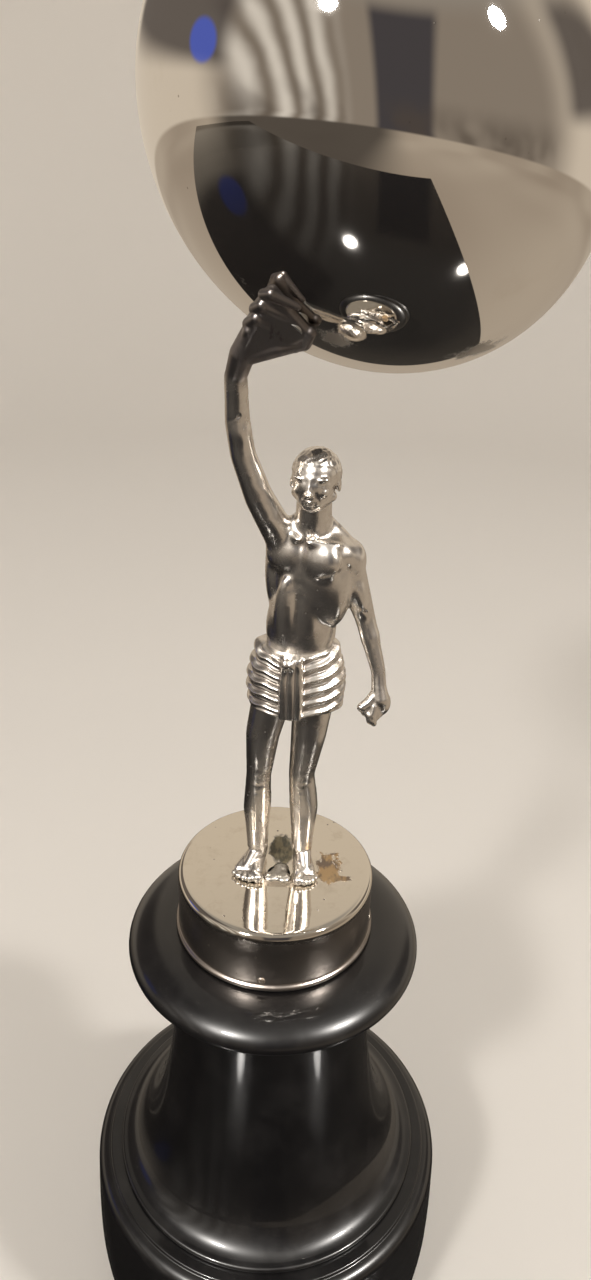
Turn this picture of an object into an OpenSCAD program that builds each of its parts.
// Bowling trophy: a plated athlete on a spun cap holds up a hollow ball,
// over a stack of turned black wood drawn together by one tie rod.
// Origin at the centre of the resting face, +Z up. The athlete faces -Y.

/* [Plinth] */
// Largest radius of the barrel-shaped plinth
plinth_r = 38.5; // [36:0.5:60]
// Height of the plinth
plinth_h = 46.4; // [36:0.1:70]
// Radius of the plinth where it meets the table
plinth_foot_r = 35; // [30:0.5:55]
// Width of the flat ledge around the bell's foot
ledge_w = 2.4; // [1:0.1:4]
// Rounding of the plinth's shoulder
shoulder_r = 2.6; // [1:0.1:6]

/* [Bell] */
// Radius of the straight neck under the collar
neck_r = 19.8; // [17:0.1:24]
// Radius of the bell's foot
bell_foot_r = 32.7; // [27:0.1:34]
// Height of the bell, from the plinth to the collar
bell_h = 55.8; // [40:0.1:75]
// Height of the straight neck
neck_h = 9; // [3:0.5:12]
// Thickness of the bead around the bell's foot
foot_bead = 1.3; // [0.6:0.1:3]

/* [Collar] */
// Largest radius of the collar
collar_r = 28.4; // [24:0.1:34]
// Height of the collar
collar_h = 7.2; // [6:0.1:14]
// Depth of the collar's widest ring below its top
collar_crest = 4.3; // [2:0.1:4.5]

/* [Cap] */
// Radius of the spun cap
cap_r = 18.5; // [15:0.1:23]
// Height of the cap's skirt
cap_h = 13; // [11:0.5:24]
// Thickness of the sheet metal
sheet_t = 0.6; // [0.4:0.1:1]
// Radius of the rolled bead at the skirt's edge
skirt_bead_r = 0.6; // [0.4:0.1:1]
// Clearance between the cap and the wood inside it
cap_fit = 0.1; // [0.05:0.05:0.3]
// Number of tacks that hold the skirt
tack_n = 4; // [3:1:8]
// Diameter of a tack's shank
tack_d = 0.9; // [0.6:0.1:1.4]

/* [Fixings] */
// Diameter of the tie rod
rod_d = 6; // [4:0.5:8]
// Clearance around the tie rod in the wood
rod_fit = 0.2; // [0.1:0.05:0.5]
// Radial clearance of the turned spigots in their sockets
spigot_fit = 0.1; // [0.05:0.05:0.3]
// Thickness of a rod nut
nut_h = 5; // [3:0.5:7]
// Thickness of a rod washer
washer_t = 1.2; // [0.8:0.1:2]
// Diameter of the studs under the feet
foot_stud_d = 1.6; // [1.2:0.1:2.2]
// Thickness of the felt under the plinth
felt_t = 1.2; // [0.8:0.1:3]

/* [Athlete] */
// Height of the athlete without the raised arm
athlete_h = 81; // [60:1:100]
// Diameter of the pegs that locate the head and the arms
peg_d = 1.5; // [1:0.1:2]

/* [Ball] */
// Radius of the hollow ball at its seam
ball_r = 35.4; // [24:0.1:44]
// Half of the ball's height across its seam; the spun domes are a little shallow
ball_half = 30.8; // [22:0.1:40]
// Thickness of the spun shell
ball_wall = 0.9; // [0.6:0.1:1.5]
// Angle of the ball's own axis from the vertical
spin_tilt = 45; // [0:1:60]
// Heading of the ball's own axis around the vertical
spin_heading = 20; // [0:1:90]
// Angle of the ball's stud from the vertical
stud_tilt = 43; // [30:1:50]
// Heading of the ball's stud around the vertical
stud_heading = 54; // [40:1:70]
// Diameter of the ball's stud
stud_d = 3; // [2:0.1:4]

/* [Hidden] */
$fn = 96;
hull_fn = 24;                       // sides of the shapes that are hulled
limb_fn = 18;                       // sides of the limbs
cone_fn = 48;
slice_t = 0.01;                     // thickness of a section that is hulled
over = 1;                           // how far a cut runs past a face
cut_w = 60;                         // block that trims the athlete's parts flat
cut_h = 20;

// Heights of the stack, from the table up
felt_proud = felt_t / 2;            // the felt stands this far below the wood
plinth_top = felt_proud + plinth_h;
bell_top = plinth_top + bell_h;
collar_top = bell_top + collar_h;
cap_top = collar_top + cap_h;
boss_top = cap_top - sheet_t;       // the wooden boss carries the cap's disc
boss_r = cap_r - sheet_t - cap_fit;
skirt_gap = 0.2;                    // the skirt ends just clear of the collar

// Plinth
felt_inset = 3;
felt_r = plinth_foot_r - felt_inset;
ledge_step = 0.7;                   // fillet between the ledge and the shoulder
ledge_r = bell_foot_r + ledge_w;
nut_well_r = 10;
nut_well_h = 14;

// Spigots
bell_spigot_r = 13;
bell_spigot_h = 8;
collar_spigot_r = 11;
collar_spigot_h = 6;
end_gap = 0.5;                      // a spigot never bottoms in its socket

// Rod, nuts and the well in the boss that holds the upper ones
nut_af = rod_d * 5 / 3;             // across flats
washer_r = rod_d * 7 / 6;
rod_end = 0.8;                      // thread left standing past each nut
stud_nut_h = 1.6;
stud_nut_r = foot_stud_d;
stud_end = 0.4;
rod_room = 0.8;                     // air between the foot studs and the rod
boss_well_r = washer_r + 0.8;
boss_well_h = stud_nut_h + stud_end + rod_room + rod_end + nut_h + washer_t;
upper_seat = boss_top - boss_well_h;
lower_seat = felt_proud + nut_well_h;

// Athlete: every point is in millimetres for this height and is scaled from it
drawn_h = 81;
k = athlete_h / drawn_h;
// Right leg, on the -X side: ankle, calf, knee, thigh, hip
right_leg_at = [[-3.6, 1.2, 4.4], [-3.9, 1.7, 12.6], [-3.6, 0.5, 21], [-3.1, 0.3, 30], [-1.5, 0.6, 38]];
right_leg_r = [1.8, 2.35, 2.15, 3, 3.6];
right_foot_at = [[-3.5, 2.6, 1.9], [-6.8, -3.4, 1.3], [-3.6, -4.4, 1.2]];
right_foot_r = [1.9, 1.3, 1.2];
left_leg_at = [[4.8, 1.2, 4.4], [4.8, 1.9, 13], [4.1, 0.5, 21.5], [5.1, 0.3, 30], [5.7, 0.6, 38]];
left_leg_r = [1.9, 2.45, 2.25, 3.1, 3.7];
left_foot_at = [[4.9, 2.6, 1.9], [6.6, -4.6, 1.2], [4.4, -4.8, 1.3]];
left_foot_r = [1.9, 1.2, 1.3];
// Wrap around the hips: centre, half width, half depth, height
wrap_at = [2.4, 0.3, 36];
wrap_size = [8.1, 4.9];
wrap_h = 12;
wrap_sections = [[0, 0.3], [wrap_h - 1.5, 0.2], [wrap_h, -0.7]];    // height, swell
flap_at = [0, -5.1, 35];
flap_size = [3.4, 2, 11];
// Torso sections: centre x, y, z, half width, half depth
waist = [2.6, 0.3, 44.5, 6.3, 4.1];
belly = [2.8, 0.2, 49.5, 6, 3.9];
chest = [4.4, 0.1, 62.5, 7.3, 4.6];
yoke = [4.4, 0.4, 67, 5.9, 3.4];
// Neck and head
neck_at = [[4.3, 0.7, 66.5], [4, -0.1, 73]];
neck_half = 2.6;
neck_flare = 0.9;                   // the neck widens by this at its root
neck_cut = 68.6;                    // the head's neck meets the torso here
head_at = [4.15, -0.5, 75.9];
head_r = 4.05;
head_lobes = [[0, 0.9, 1.1, 1], [0, -0.9, 1, 0.86], [0, -1.6, -2.6, 0.62]];   // skull, brow, jaw: offset, share of head_r
// Raised arm, -X side: shoulder, biceps, elbow, forearm, wrist
raised_at = [[-0.6, 0.2, 65.6], [-4.4, -0.6, 73.3], [-6.9, -1.2, 80.2], [-7.7, -1.6, 85.2], [-7.9, -3, 92]];
raised_r = [3.1, 2.4, 2.1, 2.1, 1.85];
// Hand: heel, knuckles, upper knuckles, finger tips, edge of the palm, thumb
hand_at = [[-6.9, -4.6, 95.3], [-5.8, -6.2, 99.2], [-4.4, -7.6, 102.6],
           [-2.8, -10, 104.9], [2.4, -6.9, 98.9], [2, -4.8, 97.2]];
hand_r = [2, 1.8, 1.5, 1.25, 1.2, 1.1];
// Point where the ball sits on the palm
palm = [0.6, -6, 100.5];
// Lowered arm, +X side: shoulder, elbow, wrist, knuckles, finger tips
lowered_at = [[9.6, 0.2, 63.4], [13.3, 0.9, 53], [16.1, -1.6, 44], [16.3, -2.6, 39.6], [16.2, -3.2, 36.6]];
lowered_r = [3, 2.1, 1.5, 1.8, 1.3];
lowered_thumb_at = [[16.1, -2.2, 41], [13.7, -4, 38.4]];
lowered_thumb_r = [1.2, 0.8];
// Pegs: where each one is centred and the way it points
peg_len = 6;
neck_peg_at = [4.2, 0.5, neck_cut];
raised_peg_at = [1.2, 0.2, 64.6];
lowered_peg_at = [8.9, 0.2, 63.6];
peg_lean = 62;                      // shoulder pegs lean out from the vertical
// Studs under the feet
foot_stud_at = [[-4, 0.6, 0], [4.8, 0.6, 0]];
foot_stud_in = 4;                   // depth in the foot
foot_stud_fit = 0.1;
solder_at = [0.5, -1.6, -1.2];
solder_r = 2.9;

// Ball: the palm point and the stud's direction place its centre
function heading(tilt, turn) = [sin(tilt) * cos(turn), sin(tilt) * sin(turn), cos(tilt)];
stud_dir = heading(stud_tilt, stud_heading);
spin_dir = heading(spin_tilt, spin_heading);
lean = spin_dir * stud_dir;
flat = ball_half * ball_half - ball_r * ball_r;
palm_at = [0, 0, cap_top] + k * palm;
ball_at = palm_at + (ball_r * ball_r * stud_dir + flat * lean * spin_dir)
          / sqrt(ball_r * ball_r + flat * lean * lean);
inner_r = ball_r - ball_wall;
inner_half = ball_half - ball_wall;
seam_ring_h = 4;
seam_ring_t = 1;
boss_d = 8;
boss_h = 5;
stud_in = 2;                        // depth of the stud in the hand
stud_out = 1;                       // thread left past the nut
ball_nut_h = 2.4;
ball_nut_af = stud_d * 11 / 6;

// --- helpers ---

// Places its children on the cap's disc, at the athlete's size
module on_cap() {
    translate([0, 0, cap_top]) scale(k) children();
}

// Places its children at the ball's centre with +Z along the ball's own axis
module at_ball() {
    translate(ball_at) rotate([0, spin_tilt, spin_heading]) children();
}

// Places its children at the palm with +Z along the stud, into the ball
module at_palm() {
    translate(palm_at) rotate([0, stud_tilt, stud_heading]) children();
}

// A block that reaches down from height z, to cut with
module below(z) {
    translate([-cut_w / 2, -cut_w / 2, z - cut_h]) cube([cut_w, cut_w, cut_h]);
}

// A cone between two points
module cone(a, b, ra, rb) {
    d = b - a;
    len_ab = norm(d);
    translate(a) rotate([0, acos(d.z / len_ab), atan2(d.y, d.x)])
        cylinder(h = len_ab, r1 = ra, r2 = rb, $fn = cone_fn);
}

// A limb through a list of points, each with its radius
module limb(at, r) {
    for (i = [0 : len(at) - 2]) hull() {
        translate(at[i]) sphere(r[i], $fn = limb_fn);
        translate(at[i + 1]) sphere(r[i + 1], $fn = limb_fn);
    }
}

// A rounded pad between a few points
module pad(at, r) {
    hull() for (i = [0 : len(at) - 1]) translate(at[i]) sphere(r[i], $fn = hull_fn);
}

// A thin elliptic slice of the torso
module slice(s) {
    translate([s[0], s[1], s[2]]) linear_extrude(slice_t) scale([s[3], s[4]]) circle(1, $fn = hull_fn);
}

// A hexagonal nut standing on z = 0
module nut(af, h, bore_d) {
    difference() {
        cylinder(h = h, d = af / cos(30), $fn = 6);
        translate([0, 0, -over]) cylinder(h = h + 2 * over, d = bore_d);
    }
}

// Elliptic arc from angle a0 to a1, as points for a turned profile
function arc(c, rx, rz, a0, a1, n = 14) =
    [for (i = [0 : n]) let (a = a0 + (a1 - a0) * i / n) [c.x + rx * cos(a), c.y + rz * sin(a)]];

// --- turned wood ---

collar_foot = 0.7;                  // small step between the neck and the collar's underside

// Height at which the barrel is widest, and the curve below and above it
barrel_mid = felt_proud + plinth_h / 2;
shoulder_top = plinth_top - ledge_step;
bead_w = 0.7;                       // the bead stands this far outside the sweep
barrel_edge = ledge_r + 0.4;
shoulder_share = 0.9;               // part of the shoulder's rounding that lies outside the ledge
foot_edge = 0.8;                    // the barrel starts this far outside its resting face
foot_band = 1;                      // and this far above it

module plinth() {
    side_r = barrel_edge + shoulder_r * shoulder_share;    // where the shoulder runs into the side
    color([0.03, 0.028, 0.03]) difference() {
        rotate_extrude() polygon(concat(
            [[0, felt_proud], [plinth_foot_r, felt_proud]],
            [for (i = [0 : 12]) let (t = i / 12, z = felt_proud + foot_band + t * (barrel_mid - felt_proud - foot_band))
                [plinth_foot_r + foot_edge + (plinth_r - plinth_foot_r - foot_edge) * sin(90 * t), z]],
            [for (i = [1 : 11]) let (t = i / 12, z = barrel_mid + t * (shoulder_top - shoulder_r - barrel_mid))
                [side_r + (plinth_r - side_r) * cos(90 * t), z]],
            arc([side_r - shoulder_r, shoulder_top - shoulder_r], shoulder_r, shoulder_r, 0, 90, 8),
            [[ledge_r, shoulder_top], [ledge_r, plinth_top], [0, plinth_top]]));
        translate([0, 0, -over]) cylinder(h = felt_proud + over + felt_proud, r = felt_r);
        translate([0, 0, -over]) cylinder(h = nut_well_h + over + felt_proud, r = nut_well_r);
        translate([0, 0, -over]) cylinder(h = plinth_top + 2 * over, d = rod_d + 2 * rod_fit);
        translate([0, 0, plinth_top - bell_spigot_h - end_gap])
            cylinder(h = bell_spigot_h + end_gap + over, r = bell_spigot_r + spigot_fit);
    }
}

module bell_column() {
    bead_z = plinth_top + foot_bead;
    sweep_h = bell_h - neck_h - foot_bead;
    sweep_r = bell_foot_r - bead_w - neck_r;
    color([0.03, 0.028, 0.03]) difference() {
        rotate_extrude() polygon(concat(
            [[0, plinth_top - bell_spigot_h], [bell_spigot_r, plinth_top - bell_spigot_h],
             [bell_spigot_r, plinth_top], [bell_foot_r - bead_w, plinth_top]],
            arc([bell_foot_r - foot_bead / 2, plinth_top + foot_bead / 2], foot_bead / 2, foot_bead / 2, -60, 80, 6),
            arc([neck_r + sweep_r, bead_z + sweep_h], sweep_r, sweep_h, 270, 180, 24),
            [[neck_r, bell_top], [0, bell_top]]));
        translate([0, 0, plinth_top - bell_spigot_h - over])
            cylinder(h = bell_h + bell_spigot_h + 2 * over, d = rod_d + 2 * rod_fit);
        translate([0, 0, bell_top - collar_spigot_h - end_gap])
            cylinder(h = collar_spigot_h + end_gap + over, r = collar_spigot_r + spigot_fit);
    }
}

module collar() {
    crest_z = collar_top - collar_crest;
    root_r = neck_r + collar_foot;
    color([0.03, 0.028, 0.03]) difference() {
        rotate_extrude() polygon(concat(
            [[0, bell_top - collar_spigot_h], [collar_spigot_r, bell_top - collar_spigot_h],
             [collar_spigot_r, bell_top], [root_r, bell_top]],
            arc([root_r, crest_z], collar_r - root_r, crest_z - bell_top - collar_foot, -90, 0, 12),
            arc([root_r, crest_z], collar_r - root_r, collar_top - crest_z, 0, 90, 12),
            [[boss_r, collar_top], [boss_r, boss_top], [0, boss_top]]));
        translate([0, 0, bell_top - collar_spigot_h - over])
            cylinder(h = boss_top, d = rod_d + 2 * rod_fit);
        translate([0, 0, upper_seat]) cylinder(h = boss_well_h + over, r = boss_well_r);
        tack_set(tack_d, 0, boss_r - 3);
    }
}

// --- cap and fixings ---

tack_turn = -96;                    // heading of the first tack
tack_z = 2.4;                       // height of the tacks above the skirt's edge
tack_head_r = 0.8;
tack_head_t = 0.4;

// Tack shanks that start at radius r0 and end at radius r1 or beyond the skirt
module tack_set(d, extra, r0) {
    for (i = [0 : tack_n - 1])
        rotate([0, 0, tack_turn + 360 * i / tack_n])
            translate([r0, 0, collar_top + tack_z]) rotate([0, 90, 0])
                cylinder(h = cap_r + extra - r0, d = d, $fn = 24);
}

module cap() {
    skirt_z = collar_top + skirt_gap;
    edge = 1.2;                     // rounding of the disc's rim
    color([0.80, 0.77, 0.72]) difference() {
        union() {
            rotate_extrude() polygon(concat(
                [[0, boss_top], [cap_r - sheet_t, boss_top], [cap_r - sheet_t, skirt_z], [cap_r, skirt_z]],
                arc([cap_r - edge, cap_top - edge], edge, edge, 0, 90, 6),
                [[0, cap_top]]));
            translate([0, 0, skirt_z + skirt_bead_r]) rotate_extrude() difference() {
                translate([cap_r, 0]) circle(skirt_bead_r, $fn = 24);
                translate([cap_r - sheet_t - 2 * skirt_bead_r, -2 * skirt_bead_r])
                    square([2 * skirt_bead_r, 4 * skirt_bead_r]);
            }
        }
        tack_set(tack_d, over, boss_r - over);
        on_cap_points() translate([0, 0, -over - sheet_t])
            cylinder(h = sheet_t + 2 * over, d = foot_stud_d + 2 * foot_stud_fit, $fn = 32);
    }
}

module cap_tacks() {
    color([0.72, 0.68, 0.60]) {
        tack_set(tack_d, 0, boss_r - 3);
        tack_heads();
    }
}

module tack_heads() {
    for (i = [0 : tack_n - 1])
        rotate([0, 0, tack_turn + 360 * i / tack_n])
            translate([cap_r, 0, collar_top + tack_z]) rotate([0, 90, 0])
                cylinder(h = tack_head_t, r = tack_head_r, $fn = 24);
}

module tie_rod() {
    bottom = lower_seat - washer_t - nut_h - rod_end;
    top = upper_seat + washer_t + nut_h + rod_end;
    color([0.62, 0.6, 0.57]) translate([0, 0, bottom]) cylinder(h = top - bottom, d = rod_d);
}

module washer(z) {
    translate([0, 0, z]) difference() {
        cylinder(h = washer_t, r = washer_r);
        translate([0, 0, -over]) cylinder(h = washer_t + 2 * over, r = rod_d / 2 + rod_fit);
    }
}

module rod_washers() {
    color([0.7, 0.68, 0.64]) {
        washer(lower_seat - washer_t);
        washer(upper_seat);
    }
}

module rod_nuts() {
    color([0.7, 0.68, 0.64]) {
        translate([0, 0, lower_seat - washer_t - nut_h]) nut(nut_af, nut_h, rod_d);
        translate([0, 0, upper_seat + washer_t]) nut(nut_af, nut_h, rod_d);
    }
}

module felt_pad() {
    color([0.13, 0.2, 0.15]) cylinder(h = felt_t, r = felt_r);
}

// Repeats its children at each foot stud, on the cap's top face
module on_cap_points() {
    for (p = foot_stud_at) translate([k * p.x, k * p.y, cap_top]) children();
}

module foot_studs() {
    color([0.7, 0.66, 0.58]) on_cap_points()
        translate([0, 0, -sheet_t - stud_nut_h - stud_end])
            cylinder(h = sheet_t + stud_nut_h + stud_end + foot_stud_in, d = foot_stud_d, $fn = 32);
}

module stud_nuts() {
    color([0.7, 0.66, 0.58]) on_cap_points()
        translate([0, 0, -sheet_t - stud_nut_h]) difference() {
            cylinder(h = stud_nut_h, r = stud_nut_r, $fn = 6);
            translate([0, 0, -over]) cylinder(h = stud_nut_h + 2 * over, d = foot_stud_d, $fn = 32);
        }
}

module foot_solder() {
    color([0.6, 0.58, 0.55]) on_cap() difference() {
        translate(solder_at) sphere(solder_r, $fn = 48);
        below(0);
        right_leg_form();
        left_leg_form();
    }
}

// --- athlete ---

// A foot that stands flat on the cap
module foot(at, r) {
    difference() {
        pad(at, r);
        below(0);
    }
}

module right_leg_form() {
    limb(right_leg_at, right_leg_r);
    foot(right_foot_at, right_foot_r);
}

module left_leg_form() {
    limb(left_leg_at, left_leg_r);
    foot(left_foot_at, left_foot_r);
}

module stud_holes() {
    on_cap_points() translate([0, 0, -over]) cylinder(h = foot_stud_in + over, d = foot_stud_d, $fn = 32);
}

module right_leg() {
    color([0.78, 0.76, 0.72]) difference() {
        on_cap() right_leg_form();
        stud_holes();
    }
}

module left_leg() {
    color([0.78, 0.76, 0.72]) difference() {
        on_cap() left_leg_form();
        stud_holes();
    }
}

module torso_form() {
    hull() { slice(waist); slice(belly); }
    hull() { slice(belly); slice(chest); slice(yoke); }
    cone(neck_at[0], neck_at[1], neck_half + neck_flare, neck_half);
}

module torso() {
    color([0.78, 0.76, 0.72]) difference() {
        on_cap() difference() {
            torso_form();
            translate([0, 0, cut_h]) below(neck_cut);
        }
        neck_peg_form();
        shoulder_peg_form(raised_peg_at, -peg_lean);
        shoulder_peg_form(lowered_peg_at, peg_lean);
    }
}

module waist_wrap() {
    color([0.76, 0.74, 0.7]) on_cap() difference() {
        union() {
            hull() for (c = wrap_sections)
                slice([wrap_at.x, wrap_at.y, wrap_at.z + c[0], wrap_size.x + c[1], wrap_size.y + c[1]]);
            translate(flap_at) cube(flap_size);
        }
        torso_form();
        limb(right_leg_at, right_leg_r);
        limb(left_leg_at, left_leg_r);
    }
}

module head_form() {
    hull() {
        for (l = head_lobes) translate(head_at + [l.x, l.y, l.z]) sphere(head_r * l[3], $fn = hull_fn);
    }
}

module head() {
    color([0.8, 0.78, 0.74]) difference() {
        on_cap() union() {
            head_form();
            difference() {
                cone(neck_at[0], neck_at[1], neck_half + neck_flare, neck_half);
                below(neck_cut);
            }
        }
        neck_peg_form();
    }
}

// The peg across the neck joint, and the ones across the shoulders
module neck_peg_form() {
    translate([0, 0, cap_top] + k * neck_peg_at) cylinder(h = peg_len, d = peg_d, center = true, $fn = 32);
}

module shoulder_peg_form(at, lean) {
    translate([0, 0, cap_top] + k * at) rotate([0, lean, 0])
        cylinder(h = peg_len, d = peg_d, center = true, $fn = 32);
}

module neck_peg() {
    color([0.7, 0.66, 0.58]) neck_peg_form();
}

module shoulder_pegs() {
    color([0.7, 0.66, 0.58]) {
        shoulder_peg_form(raised_peg_at, -peg_lean);
        shoulder_peg_form(lowered_peg_at, peg_lean);
    }
}

module raised_arm() {
    color([0.78, 0.76, 0.72]) difference() {
        on_cap() difference() {
            union() {
                limb(raised_at, raised_r);
                pad(concat([raised_at[4]], hand_at), concat([raised_r[4]], hand_r));
            }
            torso_form();
        }
        at_ball() dome(ball_r, ball_half, -90, 90);
        shoulder_peg_form(raised_peg_at, -peg_lean);
        ball_stud_form();
    }
}

module lowered_arm() {
    color([0.78, 0.76, 0.72]) difference() {
        on_cap() difference() {
            union() {
                limb(lowered_at, lowered_r);
                limb(lowered_thumb_at, lowered_thumb_r);
            }
            torso_form();
        }
        shoulder_peg_form(lowered_peg_at, peg_lean);
    }
}

// --- ball ---

dome_steps = 20;                    // straight steps in a quarter of the ball's outline

// A solid of revolution under an elliptic arc from angle a0 to a1
module dome(r, half, a0, a1) {
    rotate_extrude() polygon(concat([[0, half * sin(a0)]],
        arc([0, 0], r, half, a0, a1, dome_steps * (a1 - a0) / 90), [[0, half * sin(a1)]]));
}

// One of the two spun shells, between the same angles
module shell(a0, a1) {
    rotate_extrude() polygon(concat(
        arc([0, 0], ball_r, ball_half, a0, a1, dome_steps),
        arc([0, 0], inner_r, inner_half, a1, a0, dome_steps)));
}

module stud_bore() {
    at_palm() translate([0, 0, -over]) cylinder(h = ball_wall + boss_h + 4 * over, d = stud_d);
}

module ball_lower_shell() {
    color([0.82, 0.8, 0.77]) difference() {
        at_ball() shell(-90, 0);
        stud_bore();
    }
}

module ball_upper_shell() {
    color([0.82, 0.8, 0.77]) at_ball() shell(0, 90);
}

// The lap ring soldered inside the seam
module ball_seam_ring() {
    half_angle = asin(seam_ring_h / 2 / inner_half);
    bore_r = inner_r - seam_ring_t;
    color([0.72, 0.6, 0.35]) at_ball() rotate_extrude() polygon(concat(
        arc([0, 0], inner_r, inner_half, -half_angle, half_angle, 2),
        [[bore_r, seam_ring_h / 2], [bore_r, -seam_ring_h / 2]]));
}

// The boss soldered inside the lower shell, which the stud passes through
module ball_boss() {
    color([0.72, 0.6, 0.35]) difference() {
        intersection() {
            at_ball() dome(inner_r, inner_half, -90, 90);
            at_palm() cylinder(h = ball_wall + boss_h, d = boss_d);
        }
        stud_bore();
    }
}

module ball_stud_form() {
    at_palm() translate([0, 0, -stud_in])
        cylinder(h = stud_in + ball_wall + boss_h + ball_nut_h + stud_out, d = stud_d);
}

module ball_stud() {
    color([0.7, 0.66, 0.58]) ball_stud_form();
}

module ball_nut() {
    color([0.72, 0.6, 0.35]) at_palm() translate([0, 0, ball_wall + boss_h])
        nut(ball_nut_af, ball_nut_h, stud_d);
}

felt_pad();
plinth();
bell_column();
collar();
cap();
cap_tacks();
tie_rod();
rod_washers();
rod_nuts();
foot_studs();
stud_nuts();
foot_solder();
right_leg();
left_leg();
waist_wrap();
torso();
head();
neck_peg();
raised_arm();
lowered_arm();
shoulder_pegs();
ball_lower_shell();
ball_upper_shell();
ball_seam_ring();
ball_boss();
ball_stud();
ball_nut();
